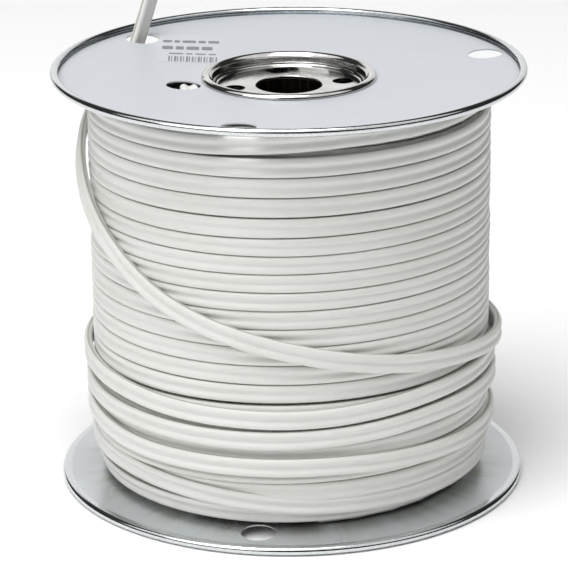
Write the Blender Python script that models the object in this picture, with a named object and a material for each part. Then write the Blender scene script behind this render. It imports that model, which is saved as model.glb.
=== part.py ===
"""Wire spool: a pressed-steel reel wound with flat two-conductor building cable.

The reel stands on its lower flange. Z is the axis that it turns on, and z = 0 is the surface that it stands on.
Two equal flanges are held apart by a barrel. A hub cup is pressed through each flange into the barrel's end and
rolled over the flange, and an arbor tube joins the two cups. The cable lies on the barrel in layers. Its last turn
crosses the winding and leaves through a hole in the upper flange, and its free end can be bent there.
"""
import math

import bmesh
import bpy
import numpy as np
from mathutils import Vector

MM = 0.001
GAP = 0.3 * MM                  # between pieces that touch
WIRE_GAP = 0.12 * MM            # between the small pieces inside the cable

# Reel
FLANGE_RADIUS = 127.0 * MM      # a ten-inch flange
REEL_HEIGHT = 230.0 * MM
ROLL_RADIUS = 2.25 * MM         # the flange's edge is rolled outward to this radius
ROLL_LAND = 0.8 * MM            # half width of the roll's flattened crest
SHEET = 0.8 * MM                # flange sheet
DISH = 3.8 * MM                 # the flange's middle lies this much nearer to the other flange
DISH_START = 50.0 * MM          # radius where the flange's slope starts
DISH_END = 118.0 * MM           # radius where it ends
BARREL_OUTER = 43.0 * MM
BARREL_INNER = 42.1 * MM
CUP_WALL = 41.8 * MM            # outer radius of the hub cup's neck
CUP_THICKNESS = 0.8 * MM
BEAD_RADIUS = 2.5 * MM          # the hub cup's rolled bead
BEAD_CREST = 44.4 * MM
CUP_FLOOR_RADIUS = 39.6 * MM
CUP_FLOOR_DEPTH = 11.5 * MM     # from the reel's end to the hub cup's floor
CUP_FLOOR_THICKNESS = 1.0 * MM
ARBOR_RADIUS = 17.7 * MM
ARBOR_TUBE_OUTER = 19.0 * MM
DRIVE_HOLE_RADIUS = 5.6 * MM
DRIVE_HOLE_CIRCLE = 29.5 * MM
DRIVE_HOLE_ANGLES = [12.0, 102.0, 192.0, 282.0]
CABLE_HOLE_RADIUS = 9.25 * MM
# Centres of each flange's holes, as radius and azimuth in degrees: right, back and front
UPPER_CABLE_HOLES = [(111.4 * MM, 16.9), (108.0 * MM, 138.5), (108.9 * MM, 256.5)]
LOWER_CABLE_HOLES = [(108.0 * MM, 20.4), (108.0 * MM, 140.4), (108.0 * MM, 260.4)]
UPPER_STARTER_HOLE = (58.0 * MM, 196.1)
LOWER_STARTER_HOLE = (58.0 * MM, 198.0)
LABEL_X = (-70.5 * MM, -35.0 * MM)
LABEL_Y = (32.0 * MM, 84.0 * MM)
LABEL_THICKNESS = 0.2 * MM

# Cable
CABLE_WIDTH = 10.2 * MM
CABLE_THICKNESS = 4.5 * MM
SHEATH_WALL = 0.75 * MM
INSULATION_RADIUS = 1.38 * MM
CORE_RADIUS = 0.81 * MM
GROUND_RADIUS = 0.81 * MM
PAPER_RADIUS = 1.2 * MM
CONDUCTOR_OFFSET = 2.9 * MM
LAYER_COUNT = 15
LAYER_PITCH = 4.3 * MM          # the layers nest, so this is less than the cable's thickness
LAYER_FLOOR_GAP = 0.5 * MM
START_SLACK = 5.2 * MM          # room over the inner layers for the cable's inner end
START_LAYERS = 6
END_SLACK = 2.4 * MM
CORNER_HEIGHT = 10.5 * MM       # the outermost layer's lowest turn sits this high
OUTER_TURNS_BOTTOM = 36.5 * MM
OUTER_TURNS_TOP = 76.2 * MM

# The last turn's centreline: azimuth in degrees, radius and height in millimetres
LAST_TURN_ROUTE = [
    (40, 110.4, 81.8), (28, 110.9, 81.6), (16, 112.2, 81.3), (4, 113.0, 81.4), (-8, 112.8, 82.6),
    (-20, 111.8, 84.8), (-32, 110.9, 87.6), (-44, 110.5, 90.4), (-56, 110.4, 93.4), (-68, 110.4, 97.3),
    (-80, 110.4, 101.9), (-92, 110.4, 107.2), (-104, 110.4, 112.8), (-116, 110.4, 119.6), (-128, 110.4, 128.0),
    (-139, 110.6, 138.2), (-149, 111.1, 148.7), (-158, 111.8, 159.0), (-166, 112.3, 169.6), (-174, 112.3, 180.0),
    (-182, 111.8, 189.0), (-190, 111.0, 195.8), (-198, 110.5, 201.4), (-205, 110.2, 206.0), (-210.3, 110.2, 209.6),
    (-214.8, 110.2, 213.4), (-218.2, 110.2, 217.9), (-220.2, 110.0, 222.8), (-221.4, 109.9, 228.0),
    (-222.6, 109.8, 233.5), (-223.8, 109.7, 239.0),
]
BEND_HEIGHT = 226.6 * MM        # the free end bends here, just above the upper flange's sheet
LAST_TURN_STATIONS = 50
SMOOTHING_SPAN = 7              # samples averaged, each about 1.5 mm of cable
TAIL_LENGTH = 26.0 * MM         # free cable beyond the bend
TAIL_SOLID = 3.0 * MM           # sheath below the wires' lower ends

SEGMENTS = 40                   # facets of the barrel and winding
FLANGE_SEGMENTS = 80
HOLE_SEGMENTS = 16


def clear_scene():
    for obj in list(bpy.data.objects):
        bpy.data.objects.remove(obj, do_unlink=True)


def material(name, colour, roughness, metallic=0.0):
    mat = bpy.data.materials.new(name)
    mat.use_nodes = True
    shader = mat.node_tree.nodes["Principled BSDF"]
    shader.inputs["Base Color"].default_value = (*colour, 1.0)
    shader.inputs["Roughness"].default_value = roughness
    shader.inputs["Metallic"].default_value = metallic
    mat.diffuse_color = (*colour, 1.0)
    return mat


def add_object(name, bm, mat, smooth_angle=35.0):
    """Turns a bmesh into a named object with its faces pointing out."""
    bmesh.ops.recalc_face_normals(bm, faces=bm.faces)
    mesh = bpy.data.meshes.new(name)
    bm.to_mesh(mesh)
    bm.free()
    mesh.shade_smooth()
    mesh.set_sharp_from_angle(angle=math.radians(smooth_angle))
    if mat is not None:
        mesh.materials.append(mat)
    obj = bpy.data.objects.new(name, mesh)
    bpy.context.scene.collection.objects.link(obj)
    return obj


def turned(name, profile, mat, segments=SEGMENTS):
    """Spins a closed outline of (radius, height) points about Z."""
    bm = bmesh.new()
    verts = [bm.verts.new((r, 0.0, z)) for r, z in profile]
    edges = [bm.edges.new((verts[i], verts[(i + 1) % len(verts)])) for i in range(len(verts))]
    bmesh.ops.spin(bm, geom=verts + edges, cent=(0, 0, 0), axis=(0, 0, 1), dvec=(0, 0, 0),
                   angle=math.tau, steps=segments, use_merge=True, use_duplicate=False)
    bmesh.ops.remove_doubles(bm, verts=bm.verts, dist=1e-6)
    return add_object(name, bm, mat)


def ring(name, inner, outer, bottom, top, mat, segments=SEGMENTS):
    return turned(name, [(inner, bottom), (outer, bottom), (outer, top), (inner, top)], mat, segments)


def polar(radius, degrees, height=0.0):
    angle = math.radians(degrees)
    return Vector((radius * math.cos(angle), radius * math.sin(angle), height))


def hole_cutter(name, holes, bottom, top):
    """One object of upright cylinders, each given as (centre, radius)."""
    bm = bmesh.new()
    for centre, radius in holes:
        made = bmesh.ops.create_cone(bm, cap_ends=True, segments=HOLE_SEGMENTS, radius1=radius,
                                     radius2=radius, depth=top - bottom)
        middle = Vector((centre.x, centre.y, (bottom + top) / 2))
        bmesh.ops.translate(bm, verts=made["verts"], vec=middle)
    cutter = add_object(name, bm, None)
    cutter.hide_render = True
    cutter.display_type = "WIRE"
    return cutter


def cut(obj, cutter):
    boolean = obj.modifiers.new("holes", "BOOLEAN")
    boolean.operation = "DIFFERENCE"
    boolean.solver = "EXACT"
    boolean.object = cutter


def dish_drop(radius):
    """How far the flange's sheet lies inward of its edge, at a radius."""
    share = (radius - DISH_START) / (DISH_END - DISH_START)
    return DISH * (1.0 - min(max(share, 0.0), 1.0))


def inner_face(radius, upper):
    """Height of the flange face that the winding meets."""
    low = 2 * ROLL_RADIUS + dish_drop(radius)
    return REEL_HEIGHT - low if upper else low


def outward(height_from_end, upper):
    return REEL_HEIGHT - height_from_end if upper else height_from_end


# ---------------------------------------------------------------- reel

def flange(name, upper, mat):
    """A dished disc whose edge is rolled outward, with three cable holes and a starter hole."""
    edge = 2 * ROLL_RADIUS
    roll_centre = FLANGE_RADIUS - ROLL_RADIUS
    crest = math.asin(ROLL_LAND / ROLL_RADIUS)
    face = [(BARREL_INNER, edge + DISH), (DISH_START, edge + DISH), (DISH_END, edge)]
    angles = [-90.0, -50.0, -10.0, 30.0, 60.0]
    roll = [(roll_centre + ROLL_RADIUS * math.cos(math.radians(a)),
             ROLL_RADIUS - ROLL_RADIUS * math.sin(math.radians(a))) for a in angles]
    land = [(roll_centre + ROLL_LAND, 0.0), (roll_centre - ROLL_LAND, 0.0)]
    inner_side = [(roll_centre - ROLL_RADIUS * math.sin(crest + 0.6), ROLL_RADIUS * (1 - math.cos(crest + 0.6))),
                  (roll_centre - ROLL_RADIUS, ROLL_RADIUS),
                  (roll_centre - 0.9 * ROLL_RADIUS, edge - SHEET)]
    back = [(DISH_END, edge - SHEET), (DISH_START, edge + DISH - SHEET), (BARREL_INNER, edge + DISH - SHEET)]
    outline = face + roll + land + inner_side + back
    profile = [(r, outward(depth, upper)) for r, depth in outline]
    disc = turned(name, profile, mat, FLANGE_SEGMENTS)
    centres = UPPER_CABLE_HOLES + [UPPER_STARTER_HOLE] if upper else LOWER_CABLE_HOLES + [LOWER_STARTER_HOLE]
    holes = [(polar(radius, azimuth), CABLE_HOLE_RADIUS) for radius, azimuth in centres]
    middle = outward(edge, upper)
    cut(disc, hole_cutter(name + "_holes", holes, middle - 5 * edge, middle + 5 * edge))
    return disc


def hub_cup(name, upper, mat):
    """A pressed cup: rolled bead on the flange, stepped neck in the barrel, and a floor with five holes."""
    plate = 2 * ROLL_RADIUS + DISH - SHEET - GAP
    bead = [(BEAD_CREST + BEAD_RADIUS * math.cos(math.radians(a)), plate - BEAD_RADIUS * math.sin(math.radians(a)))
            for a in (0, 36, 72, 108, 144)]
    neck_inner = CUP_WALL - CUP_THICKNESS
    ledge = plate + 3.0 * MM
    floor = CUP_FLOOR_DEPTH
    under = floor + CUP_FLOOR_THICKNESS
    inside = [(neck_inner, plate), (neck_inner, ledge), (CUP_FLOOR_RADIUS, ledge + 0.7 * MM),
              (CUP_FLOOR_RADIUS, floor), (ARBOR_RADIUS, floor)]
    outside = [(ARBOR_RADIUS, under), (CUP_WALL, under), (CUP_WALL, plate)]
    profile = [(r, outward(depth, upper)) for r, depth in bead + inside + outside]
    cup = turned(name, profile, mat)
    holes = [(polar(DRIVE_HOLE_CIRCLE, a), DRIVE_HOLE_RADIUS) for a in DRIVE_HOLE_ANGLES]
    middle = outward(floor, upper)
    cut(cup, hole_cutter(name + "_holes", holes, middle - 3.0 * MM, middle + 3.0 * MM))
    return cup


def barrel(mat):
    bottom = inner_face(BARREL_OUTER, False) + GAP
    top = inner_face(BARREL_OUTER, True) - GAP
    return ring("barrel", BARREL_INNER, BARREL_OUTER, bottom, top, mat)


def arbor_tube(mat):
    end = CUP_FLOOR_DEPTH + CUP_FLOOR_THICKNESS + GAP
    return ring("arbor_tube", ARBOR_RADIUS, ARBOR_TUBE_OUTER, end, REEL_HEIGHT - end, mat)


def flange_label(mat):
    """A thin sticker that follows the upper flange's slope."""
    x_side = np.linspace(*LABEL_X, 5)
    y_side = np.linspace(*LABEL_Y, 7)
    bm = bmesh.new()
    layers = []
    for lift in (GAP, GAP + LABEL_THICKNESS):
        grid = [[bm.verts.new((x, y, inner_face(math.hypot(x, y), True) + SHEET + lift)) for y in y_side]
                for x in x_side]
        layers.append(grid)
        for i in range(len(x_side) - 1):
            for j in range(len(y_side) - 1):
                bm.faces.new((grid[i][j], grid[i + 1][j], grid[i + 1][j + 1], grid[i][j + 1]))
    low, high = layers
    last_i = len(x_side) - 1
    last_j = len(y_side) - 1
    border = [(i, 0) for i in range(last_i)] + [(last_i, j) for j in range(last_j)]
    border += [(i, last_j) for i in range(last_i, 0, -1)] + [(0, j) for j in range(last_j, 0, -1)]
    for (i, j), (k, m) in zip(border, border[1:] + border[:1]):
        bm.faces.new((low[i][j], low[k][m], high[k][m], high[i][j]))
    return add_object("flange_label", bm, mat)


# ---------------------------------------------------------------- winding

def cable_layers(mat):
    """The full layers from the barrel outward, each one a ring of turns laid side by side."""
    for index in range(LAYER_COUNT):
        inner = BARREL_OUTER + GAP + index * LAYER_PITCH
        outer = inner + LAYER_PITCH - GAP
        bottom = inner_face(inner, False) + LAYER_FLOOR_GAP
        if index == LAYER_COUNT - 1:
            bottom = CORNER_HEIGHT
        top = inner_face(inner, True) - END_SLACK
        if index < START_LAYERS:
            top = inner_face(BARREL_OUTER, True) - START_SLACK
        ring(f"cable_layer_{index + 1:02d}", inner, outer, bottom, top, mat)


def outer_turns(mat):
    """The three turns that lie on top of the last full layer."""
    inner = BARREL_OUTER + GAP + LAYER_COUNT * LAYER_PITCH
    outer = inner + LAYER_PITCH - GAP
    ring("outer_turns", inner, outer, OUTER_TURNS_BOTTOM, OUTER_TURNS_TOP, mat)


def equal_steps(points, steps):
    """The same line read at equal distances along it."""
    run = np.concatenate([[0.0], np.cumsum(np.linalg.norm(np.diff(points, axis=0), axis=1))])
    wanted = np.linspace(0.0, run[-1], steps)
    return np.stack([np.interp(wanted, run, points[:, k]) for k in range(3)], axis=1)


def smooth_route(route, steps):
    """A smooth line through the route's points up to the bend, read at equal steps, and its direction there."""
    own = np.array([polar(r * MM, a, z * MM) for a, r, z in route])
    knots = np.vstack([2 * own[0] - own[1], own, 2 * own[-1] - own[-2]])
    dense = []
    for i in range(1, len(knots) - 2):
        before, start, end, after = knots[i - 1:i + 3]
        for t in np.linspace(0.0, 1.0, 12, endpoint=False):
            dense.append(0.5 * (2 * start + (end - before) * t + (2 * before - 5 * start + 4 * end - after) * t ** 2
                                + (3 * start - before - 3 * end + after) * t ** 3))
    dense.append(knots[-2])
    even = equal_steps(np.array(dense), 360)
    span = np.arange(1, SMOOTHING_SPAN + 1)[:, None]
    padded = np.vstack([(2 * even[0] - even[span[::-1, 0]]), even, (2 * even[-1] - even[-1 - span[:, 0]])])
    kernel = np.hanning(2 * SMOOTHING_SPAN + 3)[1:-1]
    kernel /= kernel.sum()
    soft = np.stack([np.convolve(padded[:, k], kernel, mode="valid") for k in range(3)], axis=1)
    share = (BEND_HEIGHT - soft[:-1, 2]) / np.maximum(soft[1:, 2] - soft[:-1, 2], 1e-9)
    last = int(np.argmax(soft[:, 2] > BEND_HEIGHT))
    bend = soft[last - 1] + share[last - 1] * (soft[last] - soft[last - 1])
    points = [Vector(point) for point in equal_steps(np.vstack([soft[:last], bend]), steps)]
    return points, Vector(soft[last + 1] - soft[last - 1]).normalized()


def cable_frames(points, end_direction):
    """At each point: the point, the cable's wide direction, and the direction its flat side faces."""
    frames = []
    for i, point in enumerate(points):
        along = end_direction
        if i < len(points) - 1:
            along = (points[i + 1] - points[max(i - 1, 0)]).normalized()
        radial = Vector((point.x, point.y, 0.0)).normalized()
        flat = (radial - along * radial.dot(along)).normalized()
        frames.append((point, along.cross(flat), flat))
    return frames


def oval(half_width, half_thickness, sides=12):
    """A flat cable's outline: two half circles joined by straight sides."""
    middle = half_width - half_thickness
    points = []
    for k in range(sides):
        angle = math.tau * (k + 0.5) / sides
        side = math.copysign(middle, math.cos(angle))
        points.append((side + half_thickness * math.cos(angle), half_thickness * math.sin(angle)))
    return points


def circle(radius, centre=0.0, sides=10):
    return [(centre + radius * math.cos(math.tau * k / sides), radius * math.sin(math.tau * k / sides))
            for k in range(sides)]


def swept(name, frames, outlines, mat):
    """Joins one outline per frame into a closed solid with flat ends."""
    bm = bmesh.new()
    loops = [[bm.verts.new(point + wide * u + flat * v) for u, v in outline]
             for (point, wide, flat), outline in zip(frames, outlines)]
    count = len(loops[0])
    for first, second in zip(loops, loops[1:]):
        for k in range(count):
            m = (k + 1) % count
            bm.faces.new((first[k], first[m], second[m], second[k]))
    bm.faces.new(loops[0])
    bm.faces.new(loops[-1])
    return add_object(name, bm, mat)


def sleeve(name, start, end, outer, inner, mat):
    """A straight tube between two frames, open at both ends."""
    bm = bmesh.new()
    loops = []
    for point, wide, flat in (start, end):
        for outline in (outer, inner):
            loops.append([bm.verts.new(point + wide * u + flat * v) for u, v in outline])
    start_outer, start_inner, end_outer, end_inner = loops
    count = len(outer)
    for k in range(count):
        m = (k + 1) % count
        bm.faces.new((start_outer[k], start_outer[m], end_outer[m], end_outer[k]))
        bm.faces.new((start_inner[k], start_inner[m], end_inner[m], end_inner[k]))
        bm.faces.new((start_outer[k], start_outer[m], start_inner[m], start_inner[k]))
        bm.faces.new((end_outer[k], end_outer[m], end_inner[m], end_inner[k]))
    return add_object(name, bm, mat)


def moved(frame, direction, distance):
    point, wide, flat = frame
    return (point + direction * distance, wide, flat)


def start_end(mat):
    """The cable's inner end: it leaves the first layer, lies flat under the upper flange and shows in the hole."""
    height = inner_face(BARREL_OUTER, True) - GAP - CABLE_THICKNESS / 2 - 0.1 * MM
    route = [(52.0, 252.0), (51.5, 240.0), (51.5, 228.0), (52.5, 217.0), (53.8, 207.0), (54.9, 197.0), (53.5, 188.0)]
    points = [polar(r * MM, a, height) for r, a in route]
    frames = []
    for i, point in enumerate(points):
        along = (points[min(i + 1, len(points) - 1)] - points[max(i - 1, 0)]).normalized()
        flat = Vector((0.0, 0.0, 1.0))
        frames.append((point, along.cross(flat), flat))
    outline = oval(CABLE_WIDTH / 2, CABLE_THICKNESS / 2)
    swept("start_end", frames, [outline] * len(frames), mat)


def last_turn(points, along, mat):
    """The loose turn that crosses the winding; it stops a little short of the bend. Returns the bend's frame."""
    frames = cable_frames(points, along)
    hinge, wide, flat = frames[-1]
    frames[-1] = (hinge - along * (CABLE_THICKNESS / 2 + GAP), wide, flat)
    clear = CABLE_THICKNESS / 2 + GAP + 2.0 * MM
    kept = [f for f in frames[:-1] if (f[0] - hinge).length > clear] + [frames[-1]]
    outline = oval(CABLE_WIDTH / 2, CABLE_THICKNESS / 2)
    swept("last_turn", kept, [outline] * len(kept), mat)
    return hinge, wide, flat


def tail(bend, along, mats):
    """The free end: sheath with a rounded foot on the bend's axis, two insulated wires and a bare ground wire."""
    half = CABLE_THICKNESS / 2
    half_width = CABLE_WIDTH / 2
    inside = half - SHEATH_WALL
    depths = [-0.96, -0.7, -0.35, 0.0]
    foot = [moved(bend, along, half * d) for d in depths]
    widths = [oval(half_width - 0.3 * half * abs(d), half * math.sqrt(1.0 - d * d)) for d in depths]
    top = moved(bend, along, TAIL_LENGTH)
    floor = moved(bend, along, TAIL_SOLID)
    bm = bmesh.new()
    frames = foot + [top]
    outlines = widths + [oval(half_width, half)]
    loops = [[bm.verts.new(p + w * u + f * v) for u, v in outline] for (p, w, f), outline in zip(frames, outlines)]
    bore = [[bm.verts.new(p + w * u + f * v) for u, v in oval(half_width - SHEATH_WALL, inside)]
            for p, w, f in (top, floor)]
    chain = loops + bore
    count = len(chain[0])
    for first, second in zip(chain, chain[1:]):
        for k in range(count):
            m = (k + 1) % count
            bm.faces.new((first[k], first[m], second[m], second[k]))
    bm.faces.new(chain[0])
    bm.faces.new(chain[-1])
    add_object("tail_sheath", bm, mats["sheath"])

    wire_start = moved(floor, along, GAP)
    for colour, side in (("black", -1), ("white", 1)):
        offset = side * CONDUCTOR_OFFSET
        sleeve(colour + "_insulation", wire_start, top, circle(INSULATION_RADIUS, offset),
               circle(CORE_RADIUS + WIRE_GAP, offset), mats[colour])
        swept(colour + "_wire_core", [wire_start, top], [circle(CORE_RADIUS, offset)] * 2, mats["copper"])
    sleeve("ground_paper", wire_start, top, circle(PAPER_RADIUS), circle(GROUND_RADIUS + WIRE_GAP), mats["paper"])
    swept("ground_wire", [wire_start, top], [circle(GROUND_RADIUS)] * 2, mats["copper"])


def build():
    clear_scene()
    flange_steel = material("flange_steel", (0.70, 0.72, 0.75), 0.38, 1.0)
    hub_steel = material("hub_steel", (0.80, 0.80, 0.79), 0.16, 1.0)
    tube_steel = material("tube_steel", (0.22, 0.20, 0.18), 0.5, 1.0)
    label_paper = material("label_paper", (0.80, 0.81, 0.84), 0.5)
    mats = {
        "sheath": material("cable_sheath", (0.86, 0.86, 0.83), 0.38),
        "black": material("black_insulation", (0.02, 0.02, 0.02), 0.35),
        "white": material("white_insulation", (0.85, 0.85, 0.84), 0.35),
        "copper": material("copper_wire", (0.85, 0.42, 0.27), 0.3, 1.0),
        "paper": material("ground_paper", (0.62, 0.50, 0.36), 0.8),
    }
    flange("upper_flange", True, flange_steel)
    flange("lower_flange", False, flange_steel)
    hub_cup("upper_hub_cup", True, hub_steel)
    hub_cup("lower_hub_cup", False, hub_steel)
    barrel(flange_steel)
    arbor_tube(tube_steel)
    flange_label(label_paper)
    cable_layers(mats["sheath"])
    outer_turns(mats["sheath"])
    start_end(mats["sheath"])
    points, along = smooth_route(LAST_TURN_ROUTE, LAST_TURN_STATIONS)
    bend = last_turn(points, along, mats["sheath"])
    tail(bend, along, mats)


build()
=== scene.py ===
"""Looks for the wire spool: a pressed-steel reel wound with flat two-conductor cable.

Lengths marked with MM are millimetres turned into metres. Azimuths are in degrees, counterclockwise from +X
seen from above, and the reel's axis is Z.
"""
import math

import bmesh
import bpy
import numpy as np
from mathutils import Matrix, Vector

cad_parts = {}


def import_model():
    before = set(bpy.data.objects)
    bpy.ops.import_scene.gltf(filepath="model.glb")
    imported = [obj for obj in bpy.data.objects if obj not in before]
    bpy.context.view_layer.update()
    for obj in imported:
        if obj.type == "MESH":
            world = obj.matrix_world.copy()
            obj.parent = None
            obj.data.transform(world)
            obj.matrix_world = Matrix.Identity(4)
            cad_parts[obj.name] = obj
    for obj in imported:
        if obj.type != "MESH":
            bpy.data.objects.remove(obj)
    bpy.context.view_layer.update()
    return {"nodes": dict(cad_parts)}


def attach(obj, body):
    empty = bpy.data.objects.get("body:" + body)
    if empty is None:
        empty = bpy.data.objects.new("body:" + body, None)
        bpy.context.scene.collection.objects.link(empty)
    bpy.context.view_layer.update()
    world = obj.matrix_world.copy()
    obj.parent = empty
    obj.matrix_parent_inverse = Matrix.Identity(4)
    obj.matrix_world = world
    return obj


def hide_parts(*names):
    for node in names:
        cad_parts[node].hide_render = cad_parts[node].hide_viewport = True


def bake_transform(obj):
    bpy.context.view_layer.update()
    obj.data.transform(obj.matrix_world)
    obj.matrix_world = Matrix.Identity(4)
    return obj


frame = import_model()

MM = 0.001
REEL = "reel"
TAIL = "cable_tail"

# ---------------------------------------------------------------- camera

VIEW_TARGET = Vector((0.0, 0.0, 0.115))
VIEW_DISTANCE = 1.7169
VIEW_ELEVATION = 18.67          # degrees
VIEW_ROLL = -0.51               # degrees
VIEW_LENS = 200.0               # millimetres
VIEW_SHIFT = (-0.0116, -0.0227)
SENSOR_WIDTH = 36.0             # millimetres
NEAREST_SEEN = 0.05


def add_object(name, data):
    """A new object, in the scene."""
    obj = bpy.data.objects.new(name, data)
    bpy.context.scene.collection.objects.link(obj)
    return obj


def add_camera():
    data = bpy.data.cameras.new("camera")
    data.lens = VIEW_LENS
    data.sensor_width = SENSOR_WIDTH
    data.shift_x, data.shift_y = VIEW_SHIFT
    data.clip_start = NEAREST_SEEN
    camera = add_object("camera", data)
    lift = math.radians(VIEW_ELEVATION)
    offset = Vector((0.0, -math.cos(lift), math.sin(lift))) * VIEW_DISTANCE
    turn = (-offset).to_track_quat("-Z", "Y").to_matrix().to_4x4()
    roll = Matrix.Rotation(math.radians(VIEW_ROLL), 4, "Z")
    camera.matrix_world = Matrix.Translation(VIEW_TARGET + offset) @ turn @ roll
    bpy.context.scene.camera = camera


add_camera()

# ---------------------------------------------------------------- sizes, as in the frame

FLANGE_RADIUS = 127.0 * MM
REEL_HEIGHT = 230.0 * MM
ROLL_RADIUS = 2.25 * MM
SHEET = 0.8 * MM
DISH = 3.8 * MM
DISH_START = 50.0 * MM
DISH_END = 118.0 * MM
BARREL_OUTER = 43.0 * MM
FLANGE_BORE = 42.1 * MM
CUP_WALL = 41.8 * MM
BEAD_RADIUS = 2.5 * MM
BEAD_CREST = 44.4 * MM
CUP_FLOOR_RADIUS = 39.6 * MM
CUP_FLOOR_DEPTH = 11.5 * MM
CUP_FLOOR_THICKNESS = 1.0 * MM
CUP_MOUTH_DEPTH = 6.0 * MM      # the cup is bright above this and on its floor
CUP_NECK_DEPTH = 8.0 * MM       # and painted darker below this, as shade on the cup's wall
ARBOR_RADIUS = 17.7 * MM
ARBOR_TUBE_OUTER = 19.0 * MM
DRIVE_HOLE_RADIUS = 5.6 * MM
DRIVE_HOLE_CIRCLE = 29.5 * MM
DRIVE_HOLE_ANGLES = [12.0, 102.0, 192.0, 282.0]
CABLE_HOLE_RADIUS = 9.25 * MM
# Centres of each flange's holes, as radius and azimuth: right, back, front, and the starter hole
UPPER_HOLES = [(111.4 * MM, 16.9), (108.0 * MM, 138.5), (108.9 * MM, 256.5), (58.0 * MM, 196.1)]
LOWER_HOLES = [(108.0 * MM, 20.4), (108.0 * MM, 140.4), (108.0 * MM, 260.4), (58.0 * MM, 198.0)]
GAP = 0.3 * MM

CABLE_WIDTH = 10.2 * MM
CABLE_THICKNESS = 4.5 * MM
GROOVE_DEPTH = 1.2 * MM         # between the cable's two conductors
TAIL_GROOVE = 0.34 * MM         # on the free end, where the ground wire fills the middle
GROOVE_POWER = 1.15             # how narrow the groove is at its bottom
PRESSED_EDGE = 2.45             # how square a pressed turn's edges are; 2 is round
LOOSE_EDGE = 2.15
LAYER_PITCH = 4.3 * MM
LAYER_COUNT = 15
FIRST_LAYER_RADIUS = BARREL_OUTER + GAP + LAYER_PITCH / 2


def polar(radius, degrees, height=0.0):
    angle = math.radians(degrees)
    return Vector((radius * math.cos(angle), radius * math.sin(angle), height))


def dish_drop(radius):
    """How far the flange's sheet lies inward of its edge: flat near the hub, then a straight slope out."""
    share = min(max((radius - DISH_START) / (DISH_END - DISH_START), 0.0), 1.0)
    return DISH * (1.0 - share)


def inner_face(radius):
    """Depth of the flange face that the winding meets, from the reel's end."""
    return 2 * ROLL_RADIUS + dish_drop(radius)


# ---------------------------------------------------------------- mesh helpers

CUT_EDGE_ANGLE = 32.0           # degrees; sharper edges stay sharp round a hole


def link(name, mesh, material, body, replaced=()):
    obj = add_object(name, mesh)
    mesh.materials.append(material)
    if body is not None:
        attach(obj, body)
    if replaced:
        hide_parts(*replaced)
    return obj


def grid_mesh(name, rings, closed_along=False, caps=True):
    """A mesh of rings of points: each ring is closed, and each is joined to the next."""
    rings = np.asarray(rings, dtype=np.float64)
    count, size = rings.shape[:2]
    spans = count if closed_along else count - 1
    ring = np.arange(spans)[:, None]
    side = np.arange(size)[None, :]
    following = (ring + 1) % count
    beside = (side + 1) % size
    quads = np.stack([ring * size + side, ring * size + beside, following * size + beside,
                      following * size + side], axis=-1).reshape(-1, 4)
    faces = quads.tolist()
    if caps and not closed_along:
        faces.append(list(range(size))[::-1])
        faces.append(list(range((count - 1) * size, count * size)))
    mesh = bpy.data.meshes.new(name)
    mesh.from_pydata(rings.reshape(-1, 3).tolist(), [], faces)
    mesh.validate()
    bm = bmesh.new()
    bm.from_mesh(mesh)
    bmesh.ops.recalc_face_normals(bm, faces=bm.faces)
    bm.to_mesh(mesh)
    bm.free()
    mesh.shade_smooth()
    return mesh


def taken_mesh(bm, name):
    """The mesh that a finished bmesh holds."""
    mesh = bpy.data.meshes.new(name)
    bm.to_mesh(mesh)
    bm.free()
    return mesh


def sharpen(mesh, degrees):
    mesh.set_sharp_from_angle(angle=math.radians(degrees))


def turned_mesh(name, profile, segments):
    """Turns a closed outline of (radius, height) points about Z."""
    angles = np.linspace(0.0, math.tau, segments, endpoint=False)
    outline = np.array(profile)
    rings = np.stack([outline[None, :, 0] * np.cos(angles)[:, None],
                      outline[None, :, 0] * np.sin(angles)[:, None],
                      np.broadcast_to(outline[None, :, 1], (segments, len(outline)))], axis=-1)
    return grid_mesh(name, rings, closed_along=True)


def arc(centre, radius, start, end, steps):
    """Points of an arc in (radius, depth), from one angle to another in degrees."""
    return [(centre[0] + radius * math.cos(math.radians(a)), centre[1] + radius * math.sin(math.radians(a)))
            for a in np.linspace(start, end, steps)]


def punch(obj, holes, bottom, top, segments=64):
    """Cuts upright round holes, each given as (centre, radius), and applies the cut."""
    bm = bmesh.new()
    for centre, radius in holes:
        made = bmesh.ops.create_cone(bm, cap_ends=True, segments=segments, radius1=radius, radius2=radius,
                                     depth=top - bottom)
        bmesh.ops.translate(bm, verts=made["verts"], vec=(centre.x, centre.y, (bottom + top) / 2))
    cutter = add_object("cutter", taken_mesh(bm, "cutter"))
    boolean = obj.modifiers.new("holes", "BOOLEAN")
    boolean.object = cutter
    boolean.solver = "EXACT"
    bpy.context.view_layer.update()
    evaluated = obj.evaluated_get(bpy.context.evaluated_depsgraph_get())
    cut_mesh = bpy.data.meshes.new_from_object(evaluated)
    obj.modifiers.clear()
    old = obj.data
    obj.data = cut_mesh
    bpy.data.meshes.remove(old)
    bpy.data.objects.remove(cutter, do_unlink=True)
    obj.data.shade_smooth()
    sharpen(obj.data, CUT_EDGE_ANGLE)


# ---------------------------------------------------------------- material helpers

FINE_GRAIN = 0.2 * MM           # how high a surface's finest bumps stand


def grey(level):
    return (level, level, level)


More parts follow.
